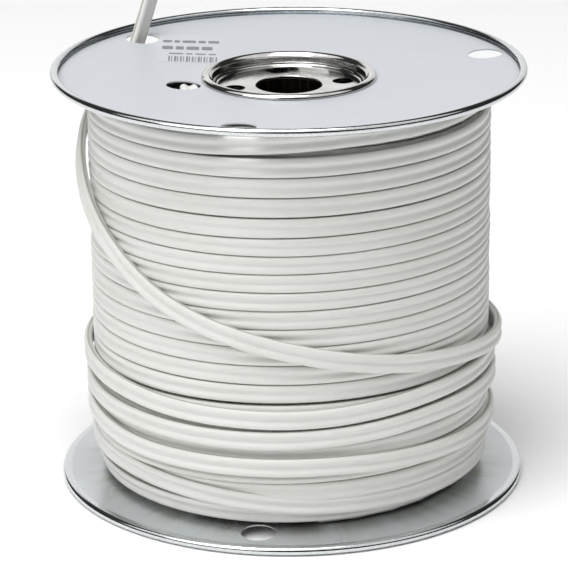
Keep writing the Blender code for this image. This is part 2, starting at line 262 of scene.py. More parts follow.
class Nodes:
    """Short names for building the nodes of one material or world."""

    def __init__(self, owner, shader="Principled BSDF"):
        owner.use_nodes = True
        self.owner = owner
        self.tree = owner.node_tree
        self.shader = self.tree.nodes[shader]

    def add(self, kind, **values):
        node = self.tree.nodes.new(kind)
        for key, value in values.items():
            setattr(node, key, value)
        return node

    def wire(self, source, target):
        self.tree.links.new(source, target)

    def set(self, **values):
        for key, value in values.items():
            self.shader.inputs[key.replace("_", " ")].default_value = value

    def feed(self, **sources):
        for key, source in sources.items():
            self.wire(source, self.shader.inputs[key.replace("_", " ")])

    def position(self):
        return self.add("ShaderNodeTexCoord").outputs["Object"]

    def math(self, operation, first, second=None):
        node = self.add("ShaderNodeMath", operation=operation)
        for socket, value in zip(node.inputs, (first, second)):
            if isinstance(value, (int, float)):
                socket.default_value = value
            elif value is not None:
                self.wire(value, socket)
        return node.outputs[0]

    def noise(self, vector, scale, detail=2.0, roughness=0.5):
        node = self.add("ShaderNodeTexNoise")
        node.inputs["Scale"].default_value = scale
        node.inputs["Detail"].default_value = detail
        node.inputs["Roughness"].default_value = roughness
        if vector is not None:
            self.wire(vector, node.inputs["Vector"])
        return node.outputs["Fac"]

    def parts(self, vector):
        """A vector's X, Y and Z."""
        node = self.add("ShaderNodeSeparateXYZ")
        self.wire(vector, node.inputs[0])
        return node.outputs

    def from_axis(self, parts):
        """How far a place is from the reel's axis."""
        square = self.math("ADD", self.math("MULTIPLY", parts[0], parts[0]),
                           self.math("MULTIPLY", parts[1], parts[1]))
        return self.math("SQRT", square)

    def scaled(self, vector, x, y, z):
        node = self.add("ShaderNodeMapping")
        node.inputs["Scale"].default_value = (x, y, z)
        self.wire(vector, node.inputs["Vector"])
        return node.outputs["Vector"]

    def span(self, value, low, high, to_low=0.0, to_high=1.0, curve="LINEAR"):
        """Maps a value from one range to another, clamped."""
        node = self.add("ShaderNodeMapRange", interpolation_type=curve)
        node.inputs["From Min"].default_value = low
        node.inputs["From Max"].default_value = high
        node.inputs["To Min"].default_value = to_low
        node.inputs["To Max"].default_value = to_high
        self.wire(value, node.inputs["Value"])
        return node.outputs["Result"]

    def ramp(self, value, stops):
        node = self.add("ShaderNodeValToRGB")
        elements = node.color_ramp.elements
        while len(elements) < len(stops):
            elements.new(0.5)
        for element, (place, colour) in zip(elements, stops):
            element.position = place
            element.color = (*colour, 1.0)
        self.wire(value, node.inputs["Fac"])
        return node.outputs["Color"]

    def mix(self, share, first, second):
        node = self.add("ShaderNodeMix", data_type="RGBA")
        for socket, value in ((node.inputs[0], share), (node.inputs[6], first), (node.inputs[7], second)):
            if isinstance(value, tuple):
                socket.default_value = (*value, 1.0)
            elif isinstance(value, (int, float)):
                socket.default_value = value
            else:
                self.wire(value, socket)
        return node.outputs[2]

    def bump(self, height, strength, distance, below=None):
        node = self.add("ShaderNodeBump")
        node.inputs["Strength"].default_value = strength
        node.inputs["Distance"].default_value = distance
        self.wire(height, node.inputs["Height"])
        if below is not None:
            self.wire(below, node.inputs["Normal"])
        return node.outputs["Normal"]

    def polar(self, vector, turns, outward, upward=0.0):
        """A vector of azimuth, radius and height, each scaled: noise on it runs in rings or in rays."""
        parts = self.parts(vector)
        azimuth = self.math("ARCTAN2", parts[1], parts[0])
        joined = self.add("ShaderNodeCombineXYZ")
        # sine and cosine of the azimuth, so that the pattern closes where the azimuth wraps round
        self.wire(self.math("MULTIPLY", self.math("COSINE", azimuth), turns), joined.inputs[0])
        self.wire(self.math("MULTIPLY", self.math("SINE", azimuth), turns), joined.inputs[1])
        third = self.math("ADD", self.math("MULTIPLY", self.from_axis(parts), outward),
                          self.math("MULTIPLY", parts[2], upward))
        self.wire(third, joined.inputs[2])
        return joined.outputs[0]


def new_look(name):
    return Nodes(bpy.data.materials.new(name))


def cable_material():
    """White vinyl: a slight grain, faint handling marks, and painted shade, a dark warm grey, in the gaps
    between turns.
    """
    white, warm_white, painted_gap_shade = (0.73, 0.732, 0.70), (0.765, 0.765, 0.74), (0.36, 0.35, 0.31)
    n = new_look("cable_vinyl")
    place = n.position()
    n.set(IOR=1.5, Specular_IOR_Level=0.42)
    depth = n.add("ShaderNodeAttribute", attribute_name="crevice").outputs["Fac"]
    cloud = n.noise(n.scaled(place, 1.0, 1.0, 5.0), 18.0, 3.0)
    light = n.mix(n.span(cloud, 0.35, 0.65), white, warm_white)
    # painted shade: points that lie deep between turns are painted a dark warm grey
    n.feed(Base_Color=n.mix(n.span(depth, 0.75, 1.0), light, painted_gap_shade))
    wear = n.noise(place, 60.0, 4.0, 0.6)
    n.feed(Roughness=n.span(wear, 0.3, 0.7, 0.34, 0.5))
    grain = n.bump(n.noise(place, 2400.0, 2.0), 0.08, FINE_GRAIN)
    n.feed(Normal=n.bump(n.noise(place, 130.0, 2.0), 0.10, 1.2 * MM, grain))
    return n.owner


CURL_RADII = (121.5 * MM, 123.0 * MM)       # a flange's look turns from sheet to curl between these
PACK_RAYS_RADII = (106.0 * MM, 119.0 * MM)     # the rays fade out between these
# painted reflection: the warm grey of the winding's reflection, laid on the lower flange's rays near the
# pack
PAINTED_REFLECTION_COLOUR = (0.53, 0.545, 0.51)
CURL_COLOURS = ((0.55, 0.57, 0.58), (0.74, 0.76, 0.77))
CURL_ROUGHNESS = (0.07, 0.14)
# Each flange's sheet: its two colours, how metallic it is and its roughness
UPPER_SHEET = (((0.55, 0.57, 0.605), (0.58, 0.60, 0.632)), 0.15, (0.42, 0.50))
LOWER_SHEET = (((0.63, 0.66, 0.685), (0.67, 0.695, 0.715)), 0.75, (0.26, 0.36))


def plate_steel(name, sheet_look, pack_rays):
    """Zinc-plated sheet steel: a pale, even satin sheet with a shinier, greyer curl round it.

    The lower one also has faint rays near the pack: raised a little, and painted a darker, warmer grey as a
    painted reflection of the winding.
    """
    colours, metallic, roughness = sheet_look
    n = new_look(name)
    place = n.position()
    radius = n.from_axis(n.parts(place))
    curl = n.span(radius, *CURL_RADII)
    n.feed(Metallic=n.span(curl, 0.0, 1.0, metallic, 1.0))
    spots = n.noise(place, 900.0, 3.0, 0.7)
    cloud = n.noise(place, 26.0, 3.0)
    sheet = n.mix(n.span(spots, 0.3, 0.7), *colours)
    fine = n.bump(n.noise(place, 2600.0, 2.0), 0.05, FINE_GRAIN)
    if pack_rays:
        rays = n.noise(n.polar(place, 15.0, 6.0), 1.0, 3.0, 0.55)
        near_pack = n.span(radius, *PACK_RAYS_RADII, 1.0, 0.0)
        share = n.math("MULTIPLY", n.span(rays, 0.35, 0.65), near_pack)
        # painted reflection: near the pack the rays are painted towards the winding's reflected warm grey
        sheet = n.mix(share, sheet, PAINTED_REFLECTION_COLOUR)
        fine = n.bump(n.math("MULTIPLY", rays, near_pack), 0.35, 1.6 * MM, fine)
    edge = n.mix(n.span(spots, 0.3, 0.7), *CURL_COLOURS)
    n.feed(Base_Color=n.mix(curl, sheet, edge))
    matte = n.span(cloud, 0.3, 0.7, *roughness)
    shiny = n.span(cloud, 0.3, 0.7, *CURL_ROUGHNESS)
    rough = n.math("ADD", n.math("MULTIPLY", matte, n.math("SUBTRACT", 1.0, curl)),
                   n.math("MULTIPLY", shiny, curl))
    n.feed(Roughness=rough)
    n.feed(Normal=fine)
    return n.owner


def hub_steel():
    """Polished steel with fine turning lines, and painted shade on the cup's wall: darker there than at the
    mouth and on the floor.
    """
    clean, stained, wall = (0.72, 0.715, 0.70), (0.56, 0.55, 0.53), (0.36, 0.36, 0.35)
    half = REEL_HEIGHT / 2
    n = new_look("hub_steel")
    place = n.position()
    n.set(Metallic=1.0)
    lines = n.noise(n.polar(place, 0.4, 2600.0, 2600.0), 1.0, 2.0)
    stains = n.noise(place, 70.0, 3.0)
    colour = n.mix(n.span(stains, 0.35, 0.7), clean, stained)
    from_middle = n.math("ABSOLUTE", n.math("SUBTRACT", n.parts(place)[2], half))
    mouth = n.span(from_middle, half - CUP_NECK_DEPTH, half - CUP_MOUTH_DEPTH)
    floor = n.span(from_middle, half - CUP_FLOOR_DEPTH, half - CUP_FLOOR_DEPTH + 1.5 * MM, 1.0, 0.0)
    # painted shade: the cup's wall, between the neck and the floor, is painted a dark grey
    colour = n.mix(n.math("ADD", mouth, floor), wall, colour)
    n.feed(Base_Color=colour)
    n.feed(Roughness=n.span(lines, 0.3, 0.7, 0.05, 0.12))
    n.feed(Normal=n.bump(lines, 0.12, FINE_GRAIN))
    return n.owner


def tube_steel():
    """Steel with brown streaks, painted near-black as painted shade from inside the hub."""
    n = new_look("tube_steel")
    place = n.position()
    n.set(Metallic=0.85)
    streaks = n.noise(n.polar(place, 9.0, 0.0, 6.0), 1.0, 4.0, 0.6)
    # painted shade: the tube's near-black colour stands in for the dark inside of the hub
    colour = n.ramp(streaks, [(0.25, (0.004, 0.003, 0.003)), (0.5, (0.014, 0.010, 0.008)),
                              (0.75, (0.05, 0.038, 0.03))])
    n.feed(Base_Color=colour)
    n.feed(Roughness=n.span(streaks, 0.3, 0.7, 0.28, 0.5))
    n.feed(Normal=n.bump(streaks, 0.2, 0.8 * MM))
    return n.owner


def plain_material(name, colour, second, roughness, scale, metallic=0.0, bump=0.1):
    """A material whose colour and roughness drift a little, with a fine grain."""
    n = new_look(name)
    place = n.position()
    n.set(Metallic=metallic)
    cloud = n.noise(place, scale, 3.0, 0.6)
    n.feed(Base_Color=n.mix(n.span(cloud, 0.3, 0.7), colour, second))
    n.feed(Roughness=n.span(cloud, 0.3, 0.7, roughness * 0.85, roughness * 1.15))
    n.feed(Normal=n.bump(n.noise(place, scale * 20, 2.0), bump, FINE_GRAIN))
    return n.owner


vinyl = cable_material()
steel = plate_steel("flange_steel", UPPER_SHEET, False)
pack_reflection_steel = plate_steel("flange_steel_painted_pack_reflection", LOWER_SHEET, True)
bright = hub_steel()
painted_shade_tube = tube_steel()
paper = plain_material("label_paper", (0.555, 0.57, 0.605), (0.585, 0.60, 0.63), 0.45, 120.0, 0.1)
ink = plain_material("label_ink", (0.12, 0.12, 0.14), (0.30, 0.30, 0.33), 0.6, 900.0)
black_vinyl = plain_material("black_vinyl", (0.015, 0.015, 0.016), (0.03, 0.03, 0.03), 0.35, 300.0)
white_vinyl = plain_material("white_vinyl", (0.80, 0.80, 0.78), (0.84, 0.84, 0.83), 0.35, 300.0)
copper = plain_material("bare_copper", (0.90, 0.45, 0.30), (0.72, 0.33, 0.20), 0.28, 500.0, 1.0)
kraft = plain_material("kraft_paper", (0.52, 0.40, 0.26), (0.62, 0.50, 0.36), 0.85, 700.0, 0.0, 0.4)

# ---------------------------------------------------------------- the cable's section and frames

def cable_section(arc_steps=6, groove_steps=16, inner_arc=3, inner_groove=4, edge=LOOSE_EDGE,
                  depth=GROOVE_DEPTH):
    """The flat cable's outline as (across, outward): two rounded edges, and a groove between on each side.

    The third value is how deep a point lies between neighbouring turns, 0 on the crests and 1 on the edges.
    """
    half = CABLE_WIDTH / 2
    radius = CABLE_THICKNESS / 2
    lobe = half - radius
    power = 2.0 / edge
    points = []

    def corner(sign, middle, angle):
        across, out = math.cos(angle), math.sin(angle)
        across = math.copysign(abs(across) ** power, across)
        points.append((sign * (middle + radius * across), sign * radius * abs(out) ** power,
                       abs(across) ** 3))

    def side(sign, arcs, groove):
        for angle in np.linspace(math.pi, math.pi / 2, arcs, endpoint=False):
            corner(sign, -lobe, angle)
        for u in np.linspace(-lobe, lobe, groove, endpoint=False):
            dip = depth * (0.5 + 0.5 * math.cos(math.pi * u / lobe)) ** GROOVE_POWER
            points.append((sign * u, sign * (radius - dip), 0.0))
        for angle in np.linspace(math.pi / 2, 0.0, arcs, endpoint=False):
            corner(sign, lobe, angle)

    side(1, arc_steps, groove_steps)
    side(-1, inner_arc, inner_groove)
    return np.array(points)


def smoothed(values, span):
    """A weighted running average over 2 * span + 1 samples, with the ends continued straight."""
    values = np.asarray(values, dtype=np.float64)
    head = 2 * values[0] - values[span:0:-1]
    tail = 2 * values[-1] - values[-2:-span - 2:-1]
    kernel = np.hanning(2 * span + 3)[1:-1]
    return np.convolve(np.concatenate([head, values, tail]), kernel / kernel.sum(), mode="valid")


def sweep(points, flats, wides, outline, width_scale=None):
    """Rings of the outline along a line, as an array of rings of points."""
    across = np.broadcast_to(outline[:, 0], (len(points), len(outline)))
    if width_scale is not None:
        across = across * np.asarray(width_scale)[:, None]
    return (points[:, None, :] + wides[:, None, :] * across[:, :, None]
            + flats[:, None, :] * outline[None, :, 1, None])


def unit(vectors):
    return vectors / np.linalg.norm(vectors, axis=1)[:, None]


def mark_crevices(mesh, outline, rings):
    """Stores how deep each point lies between turns, for the material's painted shade in the gaps."""
    layer = mesh.attributes.new("crevice", "FLOAT", "POINT")
    layer.data.foreach_set("value", np.tile(outline[:, 2], rings).astype(np.float32))


def wound(name, azimuth, radius, height, replaced, width=None, lean=None, outline=None):
    """A stretch of cable wound round the reel, from arrays. Azimuth and lean are in degrees."""
    outline = cable_section() if outline is None else outline
    angle = np.radians(azimuth)
    points = np.stack([radius * np.cos(angle), radius * np.sin(angle), height], axis=1)
    along = unit(np.gradient(points, axis=0))
    radial = np.stack([np.cos(angle), np.sin(angle), np.zeros_like(angle)], axis=1)
    flats = unit(radial - along * (radial * along).sum(axis=1)[:, None])
    wides = np.cross(flats, along)
    if lean is not None:
        tilt = np.radians(lean)[:, None]
        flats, wides = (flats * np.cos(tilt) - wides * np.sin(tilt),
                        wides * np.cos(tilt) + flats * np.sin(tilt))
    scale = None if width is None else width / CABLE_WIDTH
    mesh = grid_mesh(name, sweep(points, flats, wides, outline, scale))
    mark_crevices(mesh, outline, len(points))
    link(name, mesh, vinyl, REEL, replaced)


# ---------------------------------------------------------------- the cable's free end, a cord

# The last turn's centreline: azimuth in degrees, radius and height in millimetres
LAST_TURN_ROUTE = [
    (40, 110.4, 81.8), (28, 110.9, 81.6), (16, 112.2, 81.3), (4, 113.0, 81.4), (-8, 112.8, 82.6),
    (-20, 111.8, 84.8), (-32, 110.9, 87.6), (-44, 110.5, 90.4), (-56, 110.4, 93.4), (-68, 110.4, 97.3),
    (-80, 110.4, 101.9), (-92, 110.4, 107.2), (-104, 110.4, 112.8), (-116, 110.4, 119.6),
    (-128, 110.4, 128.0), (-139, 110.6, 138.2), (-149, 111.1, 148.7), (-158, 111.8, 159.0),
    (-166, 112.3, 169.6), (-174, 112.3, 180.0), (-182, 111.8, 189.0), (-190, 111.0, 195.8),
    (-198, 110.5, 201.4), (-205, 110.2, 206.0), (-210.3, 110.2, 209.6), (-214.8, 110.2, 213.4),
    (-218.2, 110.2, 217.9), (-220.2, 110.0, 222.8), (-221.4, 109.9, 228.0), (-222.6, 109.8, 233.5),
    (-223.8, 109.7, 239.0),
]
# How far it is twisted about its own line: azimuth and degrees
LAST_TURN_TWIST = [(-220, 0), (-206, 3), (-192, 9), (-172, 11), (-156, 9), (-140, 3), (-125, 0)]
BEND_HEIGHT = 226.6 * MM
KNOT_STEPS = 12                 # points between two of the route's own
ROUTE_STATIONS = 360
SMOOTHING_SPAN = 7
TAIL_LENGTH = 26.0 * MM
LAST_TURN_STATIONS = 280
TAIL_STATIONS = 24
GROOVE_FADE_START = 45          # stations before the bend where the groove grows shallower
GROOVE_FADE_STATIONS = 25
SHEATH_WALL = 0.75 * MM
BORE_DEPTH = 16.0 * MM
INSULATION_RADIUS = 1.38 * MM
CORE_RADIUS = 0.81 * MM
GROUND_RADIUS = 0.81 * MM
PAPER_RADIUS = 1.2 * MM
WIRE_GAP = 0.12 * MM
WIRE_BEVEL = 0.12 * MM
CONDUCTOR_OFFSET = 2.9 * MM


def equal_steps(points, steps):
    """The same line read at equal distances along it."""
    run = np.concatenate([[0.0], np.cumsum(np.linalg.norm(np.diff(points, axis=0), axis=1))])
    wanted = np.linspace(0.0, run[-1], steps)
    return np.stack([np.interp(wanted, run, points[:, k]) for k in range(3)], axis=1)


def smooth_route(route, steps):
    """A smooth line through the route's points up to the bend, at equal steps, and its direction there."""
    own = np.array([polar(r * MM, a, z * MM) for a, r, z in route])
    knots = np.vstack([2 * own[0] - own[1], own, 2 * own[-1] - own[-2]])
    dense = []
    for i in range(1, len(knots) - 2):
        before, start, end, after = knots[i - 1:i + 3]
        for t in np.linspace(0.0, 1.0, KNOT_STEPS, endpoint=False):
            dense.append(0.5 * (2 * start + (end - before) * t
                                + (2 * before - 5 * start + 4 * end - after) * t ** 2
                                + (3 * start - before - 3 * end + after) * t ** 3))
    dense.append(knots[-2])
    even = equal_steps(np.array(dense), ROUTE_STATIONS)
    soft = np.stack([smoothed(even[:, k], SMOOTHING_SPAN) for k in range(3)], axis=1)
    share = (BEND_HEIGHT - soft[:-1, 2]) / np.maximum(soft[1:, 2] - soft[:-1, 2], 1e-9)
    last = int(np.argmax(soft[:, 2] > BEND_HEIGHT))
    bend = soft[last - 1] + share[last - 1] * (soft[last] - soft[last - 1])
    direction = soft[last + 1] - soft[last - 1]
    return equal_steps(np.vstack([soft[:last], bend]), steps), direction / np.linalg.norm(direction)


def cable_end():
    """The last turn and the free end in one piece, bored at its cut end for the wires."""
    turn_points, tail_along = smooth_route(LAST_TURN_ROUTE, LAST_TURN_STATIONS)
    hinge = turn_points[-1]
    rises = np.linspace(0.0, TAIL_LENGTH, TAIL_STATIONS + 1)[1:]
    points = np.vstack([turn_points, hinge + rises[:, None] * tail_along])
    along = unit(np.gradient(points, axis=0))
    along[LAST_TURN_STATIONS - 1:] = tail_along
    radial = unit(points * (1.0, 1.0, 0.0))
    radial[LAST_TURN_STATIONS - 1:] = radial[LAST_TURN_STATIONS - 1]
    flats = unit(radial - along * (radial * along).sum(axis=1)[:, None])
    wides = np.cross(along, flats)
    azimuth = np.degrees(np.unwrap(np.arctan2(points[:, 1], points[:, 0])))
    azimuth -= azimuth[0] - LAST_TURN_ROUTE[0][0]
    where, degrees = np.array(LAST_TURN_TWIST, dtype=np.float64).T
    turn = np.radians(np.interp(azimuth, where, degrees))[:, None]
    flats, wides = flats * np.cos(turn) + wides * np.sin(turn), wides * np.cos(turn) - flats * np.sin(turn)
    outline = cable_section()
    shallow = cable_section(depth=TAIL_GROOVE)
    station = np.arange(len(points)) - (LAST_TURN_STATIONS - GROOVE_FADE_START)
    filled = np.clip(station / GROOVE_FADE_STATIONS, 0.0, 1.0)[:, None, None]
    rings = (sweep(points, flats, wides, outline) * (1.0 - filled)
             + sweep(points, flats, wides, shallow) * filled)
    # the cut end: the rings turn in over the sheath's edge and run back down the bore
    inner = shallow.copy()
    inner[:, 0] *= 1.0 - SHEATH_WALL / (CABLE_WIDTH / 2)
    inner[:, 1] *= 1.0 - SHEATH_WALL / (CABLE_THICKNESS / 2)
    end = len(points) - 1
    bore_points = points[end] - tail_along * np.array([0.0, BORE_DEPTH])[:, None]
    bore = sweep(bore_points, flats[[end, end]], wides[[end, end]], inner)
    mesh = grid_mesh("cable_end", np.concatenate([rings, bore]))
    mark_crevices(mesh, outline, len(points) + 2)
    sharpen(mesh, 50.0)
    obj = link("cable_end", mesh, vinyl, None)
    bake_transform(obj)
    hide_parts("last_turn", "tail_sheath")
    return obj, points, (Vector(hinge), Vector(tail_along), Vector(wides[-1]), Vector(flats[-1]))


def wire_piece(name, bend, offset, outer, inner, end_lift, material, replaced, sides=32):
    """A wire or a sleeve in the free end, from the bore's floor to the cut."""
    hinge, along, wide, flat = bend
    start = TAIL_LENGTH - BORE_DEPTH + GAP
    end = TAIL_LENGTH + end_lift
    stations = [(start, outer), (end - WIRE_BEVEL, outer), (end, outer - WIRE_BEVEL)]
    if inner > 0:
        stations += [(end, inner), (start, inner)]
    angles = np.linspace(0.0, math.tau, sides, endpoint=False)
    rings = []
    for rise, radius in stations:
        middle = hinge + along * rise + wide * offset
        rings.append([middle + wide * (radius * math.cos(a)) + flat * (radius * math.sin(a))
                      for a in angles])
    mesh = grid_mesh(name, np.array(rings), closed_along=inner > 0)
    sharpen(mesh, 40.0)
    return link(name, mesh, material, TAIL, (replaced,))


def free_end():
    obj, path, bend = cable_end()
    for colour, side, material in (("black", -1, black_vinyl), ("white", 1, white_vinyl)):
        offset = side * CONDUCTOR_OFFSET
        insulation = colour + "_insulation"
        wire_piece(colour + "_conductor", bend, offset, INSULATION_RADIUS,
                                 CORE_RADIUS + WIRE_GAP, -0.1 * MM, material, insulation)
        wire_piece(colour + "_core", bend, offset, CORE_RADIUS, 0.0, 0.0, copper,
                                 colour + "_wire_core")
    wire_piece("paper_wrap", bend, 0.0, PAPER_RADIUS, GROUND_RADIUS + WIRE_GAP, -0.2 * MM,
                             kraft, "ground_paper")
    wire_piece("bare_ground", bend, 0.0, GROUND_RADIUS, 0.0, 0.0, copper,
                             "ground_wire")


free_end()

# ---------------------------------------------------------------- the winding

# The loose outer turns, from the last turn's start down to the lowest turn. Each row is azimuth and radius,
# height and lean: degrees, millimetres, millimetres and degrees.
OUTER_ROUTE = [
    (40, 110.4, 81.8, 0), (75, 110.0, 81.0, 0), (110, 109.8, 79.8, 0), (150, 110.4, 77.8, 0),
    (-173, 111.0, 75.2, 0), (-160, 110.9, 73.4, 0), (-145, 110.4, 72.0, 0), (-132, 110.0, 70.3, 0),
    (-116, 109.8, 69.2, 0), (-91, 109.7, 68.8, 0), (-77, 109.6, 69.8, 0), (-66, 109.5, 71.3, 0),
    (-49, 109.4, 73.6, 0), (-16, 109.3, 74.4, 0),
    (30, 109.4, 71.0, 0), (80, 109.6, 66.5, 0), (130, 109.6, 62.6, 0), (170, 109.8, 59.4, 0),
    (-155, 109.8, 57.8, 0), (-141, 109.8, 57.6, 0), (-116, 109.7, 57.0, 0), (-91, 109.6, 57.6, 0),
    (-66, 109.6, 59.8, 0), (-49, 109.7, 62.0, 0), (-16, 109.8, 61.4, 0),
    (30, 109.8, 58.0, 0), (80, 109.6, 54.0, 0), (130, 109.6, 49.4, 0), (170, 109.7, 46.4, 0),
    (-162, 109.7, 44.8, 0), (-150, 109.7, 43.0, 0), (-137, 109.6, 41.9, 0), (-107, 109.5, 42.2, 0),
    (-91, 109.5, 42.6, 0), (-77, 109.4, 42.8, 0), (-59, 109.2, 41.1, 0), (-41, 109.0, 39.4, 0),
    (-20, 109.0, 37.9, 0),
    (30, 109.2, 35.2, 0), (80, 109.0, 32.2, 0), (130, 108.4, 29.8, 0), (170, 107.6, 28.0, 2),
    (-161, 106.9, 26.8, 3), (-147, 106.5, 26.8, 3), (-134, 106.0, 25.4, 3), (-117, 105.5, 23.4, 3),
    (-105, 105.4, 21.6, 3), (-92, 105.3, 19.9, 3), (-77, 105.2, 19.0, 3), (-49, 105.1, 18.3, 3),
    (-20, 105.0, 18.6, 4), (30, 104.7, 18.0, 6), (80, 104.4, 16.8, 9), (120, 104.2, 15.8, 13),
    (155, 103.9, 14.8, 16),
]
# The lowest turn, which then climbs behind the one above it to start the full layer
CORNER_ROUTE = [
    (155, 103.9, 14.8, 16), (180, 103.7, 14.2, 18), (-155, 103.6, 14.0, 18), (-144, 103.5, 13.9, 18),
    (-131, 103.4, 13.8, 18), (-109, 103.3, 13.8, 18), (-92, 103.2, 14.1, 18), (-76, 103.0, 14.6, 17),
    (-59, 102.5, 15.4, 16), (-45, 101.9, 16.0, 14), (-20, 100.9, 17.0, 11), (20, 100.9, 20.0, 5),
    (70, 101.6, 24.5, 0), (120, 102.2, 26.5, 0), (168, 102.5, 27.0, 0), (-155, 102.7, 27.2, 0),
    (-130, 103.2, 27.2, 0), (-108, 104.0, 27.2, 0), (-92, 104.6, 27.3, 0),
]
# Heights in millimetres between the full layer's turns at the front, from the second to the top one
TURN_EDGES = [22.2, 32.3, 43.3, 54.3, 65.5, 77.0, 87.3, 97.7, 107.6, 117.4, 127.5, 137.4, 147.2, 157.0,
              166.6, 177.5, 188.0, 198.7, 209.3, 219.6]
LOOSE_EDGES = [87.3, 177.5, 188.0]      # where the turns lie apart a little
FRONT = -92.0                   # azimuth where those heights hold
STEP = 3.0                      # degrees between stations
LAYER_RADIUS = FIRST_LAYER_RADIUS + (LAYER_COUNT - 1) * LAYER_PITCH + 0.05 * MM
FULL_TURNS = len(TURN_EDGES) - 2
TOP_RUN_ON = 95.0               # degrees that the top turn runs on past the front
# The full layer's turns, in millimetres
TURN_GAP = 0.14
LOOSE_GAP = 0.32                # added to the gap at a loose edge
LOOSE_REACH = 3.0               # and how far above and below it that fades
WIDEST_TURN = 10.35
LONG_WAVE = 0.16                # how much the turns stand in and out
SHORT_WAVE = 0.12
TOP_RISE = 3.2                  # the top turn's end rises under the flange
TOP_TUCK = 0.9                  # and tucks in
TOP_LEAD = 0.07                 # turns before the front where it starts to
TOP_EASE = 0.12                 # and turns over which it does


def unwrapped(azimuths):
    return np.degrees(np.unwrap(np.radians(azimuths)))


def stations(route):
    """A route's azimuth, radius, height and lean at even steps, smoothed; lengths in metres."""
    table = np.array(route, dtype=np.float64)
    knots = unwrapped(table[:, 0])
    azimuth = np.arange(knots[0], knots[-1] + STEP / 2, STEP)
    azimuth = np.linspace(knots[0], knots[-1], len(azimuth))
    radius, height, lean = (smoothed(np.interp(azimuth, knots, table[:, k]), 4) for k in (1, 2, 3))
    return azimuth, radius * MM, height * MM, lean


def outer_turns():
    azimuth, radius, height, lean = stations(OUTER_ROUTE)
    wound("outer_cable_turns", azimuth, radius, height, ("outer_turns",), lean=lean)


def climb_share(azimuth):
    """How many turns' climb is done at an azimuth, 0 at the front. The climb nearly stops on the right."""
    turns = np.floor((azimuth - FRONT + 180.0) / 360.0)
    local = azimuth - FRONT - 360.0 * turns
    share = np.interp(local, [-180.0, 27.0, 82.0, 180.0], [-0.5, 0.075, 0.13, 0.5])
    return turns + share


def outer_layer():
    """The last full layer, the one that shows, from the corner turn up to the upper flange."""
    azimuth, radius, height, lean = stations(CORNER_ROUTE)
    start = azimuth[-1]
    end = start + 360.0 * FULL_TURNS + TOP_RUN_ON
    rising = np.arange(start + STEP, end, STEP)
    share = climb_share(rising - (start - FRONT))
    edges = np.array(TURN_EDGES)
    index = np.arange(len(edges))
    low = np.interp(share, index, edges)
    high = np.interp(share + 1.0, index, edges, right=edges[-1] + 1.0)
    turn = np.radians(rising)
    gap = TURN_GAP + 0.08 * np.sin(2.1 * share) + 0.05 * np.sin(turn * 2.0 + share)
    for loose in LOOSE_EDGES:
        gap = gap + LOOSE_GAP * np.exp(-((high - loose) / LOOSE_REACH) ** 2)
    wide = np.minimum(high - low - gap, WIDEST_TURN)
    middle = low + gap / 2 + wide / 2
    top_turn = np.clip(share - FULL_TURNS + TOP_LEAD, 0.0, TOP_EASE) / TOP_EASE
    middle += TOP_RISE * top_turn
    wobble = LONG_WAVE * np.sin(turn * 3.0 + share * 1.9) + SHORT_WAVE * np.sin(turn * 5.0 - share * 2.7)
    out = LAYER_RADIUS / MM + wobble - TOP_TUCK * top_turn
    azimuth = np.concatenate([azimuth, rising])
    radius = smoothed(np.concatenate([radius / MM, out]), 5) * MM
    height = smoothed(np.concatenate([height / MM, middle]), 3) * MM
    width = smoothed(np.concatenate([np.full(len(lean), CABLE_WIDTH / MM), wide]), 5) * MM
    lean = smoothed(np.concatenate([lean, np.zeros(len(rising))]), 5)
    wound("cable_layer_15_turns", azimuth, radius, height, ("cable_layer_15",), width=width, lean=lean,
          outline=cable_section(edge=PRESSED_EDGE))


TOP_END = 278.0                 # azimuth where a layer that climbs ends at the top
TOP_OVERLAP = 42.0              # degrees; a layer that comes down starts this much earlier
LAYER_FOOT_GAP = 0.4 * MM       # between a hidden layer and the lower flange
LAYER_TOP_GAP = 0.9 * MM        # and the upper flange
START_LAYERS = 6                # this many first layers stop lower, clear of the cable's start
START_ROOM = 5.2 * MM
CORNER_ROOM = 26.0 * MM         # the layer under the full one starts this much higher
HIDDEN_GAP = 0.1 * MM           # between hidden turns, and between their layers
TURN_STATIONS = 30              # stations to a hidden turn


def inner_layer(index):
    """A hidden layer: a plain helix, climbing on one layer and coming down on the next."""
    radius = FIRST_LAYER_RADIUS + index * LAYER_PITCH
    low = inner_face(radius) + LAYER_FOOT_GAP + CABLE_WIDTH / 2
    high = REEL_HEIGHT - inner_face(radius) - LAYER_TOP_GAP - CABLE_WIDTH / 2
    if index < START_LAYERS:
        high = REEL_HEIGHT - inner_face(BARREL_OUTER) - START_ROOM - CABLE_WIDTH / 2
    if index == LAYER_COUNT - 2:
        low += CORNER_ROOM
    turns = int((high - low) / (CABLE_WIDTH + HIDDEN_GAP))
    azimuth = np.linspace(-360.0 * turns, 0.0, TURN_STATIONS * turns + 1) + TOP_END
    height = np.linspace(low, high, len(azimuth))
    if index % 2:
        azimuth = np.linspace(TOP_END - TOP_OVERLAP, TOP_END - TOP_OVERLAP + 360.0 * turns, len(height))
        height = height[::-1]
    thin = cable_section(3, 4, 2, 2)
    thin[:, 1] *= (LAYER_PITCH - HIDDEN_GAP) / CABLE_THICKNESS
    name = f"cable_layer_{index + 1:02d}"
    wound(name + "_turns", azimuth, np.full(len(azimuth), radius), height, (name,), outline=thin)


outer_turns()
outer_layer()
for number in range(LAYER_COUNT - 1):
    inner_layer(number)


# The start end's centreline: radius in millimetres and azimuth
START_ROUTE = [(52.0, 252.0), (51.5, 240.0), (51.5, 228.0), (52.5, 217.0), (53.8, 207.0), (54.9, 197.0),
               (53.5, 188.0)]


